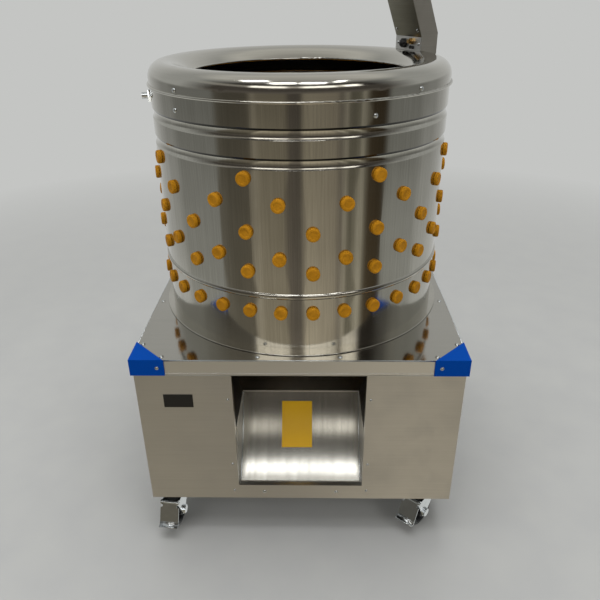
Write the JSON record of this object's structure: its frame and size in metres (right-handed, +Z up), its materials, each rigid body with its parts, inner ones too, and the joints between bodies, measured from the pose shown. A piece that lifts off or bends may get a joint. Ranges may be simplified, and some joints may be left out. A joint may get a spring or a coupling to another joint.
{
  "type": "poultry plucker",
  "caption": "Drum poultry plucker: stainless drum lined with rubber fingers, spinning feather plate, half-round rim, control box and a wheeled square base with a front feather outlet.",
  "frame": {"origin": "on the floor, under the middle of the base and the drum axis", "axes": "+Z up along the drum axis, feather outlet facing -Y, control box towards +X"},
  "size_m": [0.6636, 0.6923, 1.1929],
  "materials": {
    "brushed": "fine brushed stainless sheet",
    "drum_steel": "brushed stainless with upright grain",
    "polished": "polished stainless",
    "box_steel": "brushed stainless, darker",
    "frame": "welded tube",
    "iron": "cast",
    "motor_paint": "grey-blue paint",
    "shaft": "turned",
    "zinc": "bright zinc plate",
    "brass": "turned brass",
    "finger": "amber rubber, matt",
    "belt": "black rubber",
    "wheel": "dark grey rubber",
    "guard": "blue, satin gloss",
    "black_plastic": "black moulded",
    "yellow_plastic": "yellow moulded",
    "green_plastic": "green moulded",
    "red_plastic": "red moulded"
  },
  "bodies": {
    "base": {"frame_posts": "frame", "frame_rails": "frame", "top_plate": "brushed", "front_panel_left": "brushed", "front_panel_right": "brushed", "front_sill": "brushed", "side_panel_left": "brushed", "side_panel_right": "brushed", "rear_panel": "brushed", "feather_hopper": "brushed", "feather_chute": "polished", "corner_guards": "guard", "rivets": "zinc", "plate_screws": "zinc", "drum": "drum_steel", "rim_cover": "polished", "rim_screws": "zinc", "drum_fingers_row_1": "finger", "drum_fingers_row_2": "finger", "drum_fingers_row_3": "finger", "drum_fingers_row_4": "finger", "drum_fingers_row_5": "finger", "drum_fingers_row_6": "finger", "spray_ring": "polished", "spray_clips": "zinc", "water_inlet": "brass", "control_box": "box_steel", "control_cover": "box_steel", "gland_plate": "brushed", "control_screws": "zinc", "cable_glands": "black_plastic", "brass_fitting": "brass", "button_bezels": "zinc", "stop_collar": "yellow_plastic", "upper_bearing": "iron", "lower_bearing": "iron", "bearing_bolts": "zinc", "motor_plate": "frame", "motor_body": "motor_paint", "v_belt": "belt", "caster_plates": "zinc"},
    "rotor": {"feather_plate": "brushed", "plate_fingers": "finger", "main_shaft": "shaft", "driven_pulley": "iron"},
    "motor_rotor": {"motor_shaft": "shaft", "drive_pulley": "iron"},
    "fork_fl": {"caster_fork_fl": "zinc"},
    "wheel_fl": {"caster_wheel_fl": "wheel"},
    "pedal_left": {"brake_pedal_left": "zinc"},
    "fork_fr": {"caster_fork_fr": "zinc"},
    "wheel_fr": {"caster_wheel_fr": "wheel"},
    "pedal_right": {"brake_pedal_right": "zinc"},
    "fork_rl": {"caster_fork_rl": "zinc"},
    "wheel_rl": {"caster_wheel_rl": "wheel"},
    "fork_rr": {"caster_fork_rr": "zinc"},
    "wheel_rr": {"caster_wheel_rr": "wheel"},
    "start": {"start_button": "green_plastic"},
    "stop": {"stop_button": "red_plastic"},
    "estop": {"emergency_stop": "red_plastic"}
  },
  "joints": [
    {"name": "plate_spin", "type": "hinge", "parent": "base", "child": "rotor", "pos_m": [0, 0, 0.47], "axis": [0, 0, 1], "continuous": true},
    {"name": "motor_spin", "type": "hinge", "parent": "base", "child": "motor_rotor", "pos_m": [0, 0.21, 0.114], "axis": [0, 0, 1], "continuous": true},
    {"name": "swivel_fl", "type": "hinge", "parent": "base", "child": "fork_fl", "pos_m": [-0.284, -0.268, 0.09], "axis": [0, 0, 1], "continuous": true},
    {"name": "roll_fl", "type": "hinge", "parent": "fork_fl", "child": "wheel_fl", "pos_m": [-0.28741, -0.29579, 0.0375], "axis": [-0.9925, 0.1219, 0], "continuous": true},
    {"name": "brake_left", "type": "hinge", "parent": "fork_fl", "child": "pedal_left", "pos_m": [-0.29058, -0.3216, 0.0805], "axis": [0.9925, -0.1219, 0], "range_deg": [0, 6]},
    {"name": "swivel_fr", "type": "hinge", "parent": "base", "child": "fork_fr", "pos_m": [0.284, -0.268, 0.09], "axis": [0, 0, 1], "continuous": true},
    {"name": "roll_fr", "type": "hinge", "parent": "fork_fr", "child": "wheel_fr", "pos_m": [0.26563, -0.28913, 0.0375], "axis": [-0.7547, 0.6561, 0], "continuous": true},
    {"name": "brake_right", "type": "hinge", "parent": "fork_fr", "child": "pedal_right", "pos_m": [0.24857, -0.30875, 0.0805], "axis": [0.7547, -0.6561, 0], "range_deg": [0, 6]},
    {"name": "swivel_rl", "type": "hinge", "parent": "base", "child": "fork_rl", "pos_m": [-0.284, 0.276, 0.09], "axis": [0, 0, 1], "continuous": true},
    {"name": "roll_rl", "type": "hinge", "parent": "fork_rl", "child": "wheel_rl", "pos_m": [-0.2879, 0.30373, 0.0375], "axis": [0.9903, 0.1392, 0], "continuous": true},
    {"name": "swivel_rr", "type": "hinge", "parent": "base", "child": "fork_rr", "pos_m": [0.284, 0.276, 0.09], "axis": [0, 0, 1], "continuous": true},
    {"name": "roll_rr", "type": "hinge", "parent": "fork_rr", "child": "wheel_rr", "pos_m": [0.28982, 0.30339, 0.0375], "axis": [0.9781, -0.2079, 0], "continuous": true},
    {"name": "start_press", "type": "slide", "parent": "base", "child": "start", "axis": [-0.8261, -0.4209, -0.3746], "range_m": [0, 0.004], "stiffness_N_per_m": 600},
    {"name": "stop_press", "type": "slide", "parent": "base", "child": "stop", "axis": [-0.8261, -0.4209, -0.3746], "range_m": [0, 0.004], "stiffness_N_per_m": 600},
    {"name": "estop_press", "type": "slide", "parent": "base", "child": "estop", "axis": [-0.8261, -0.4209, -0.3746], "range_m": [0, 0.004], "stiffness_N_per_m": 600}
  ],
  "couplings": [
    {"joint": "motor_spin", "follows": "plate_spin", "ratio": 3.3333}
  ]
}
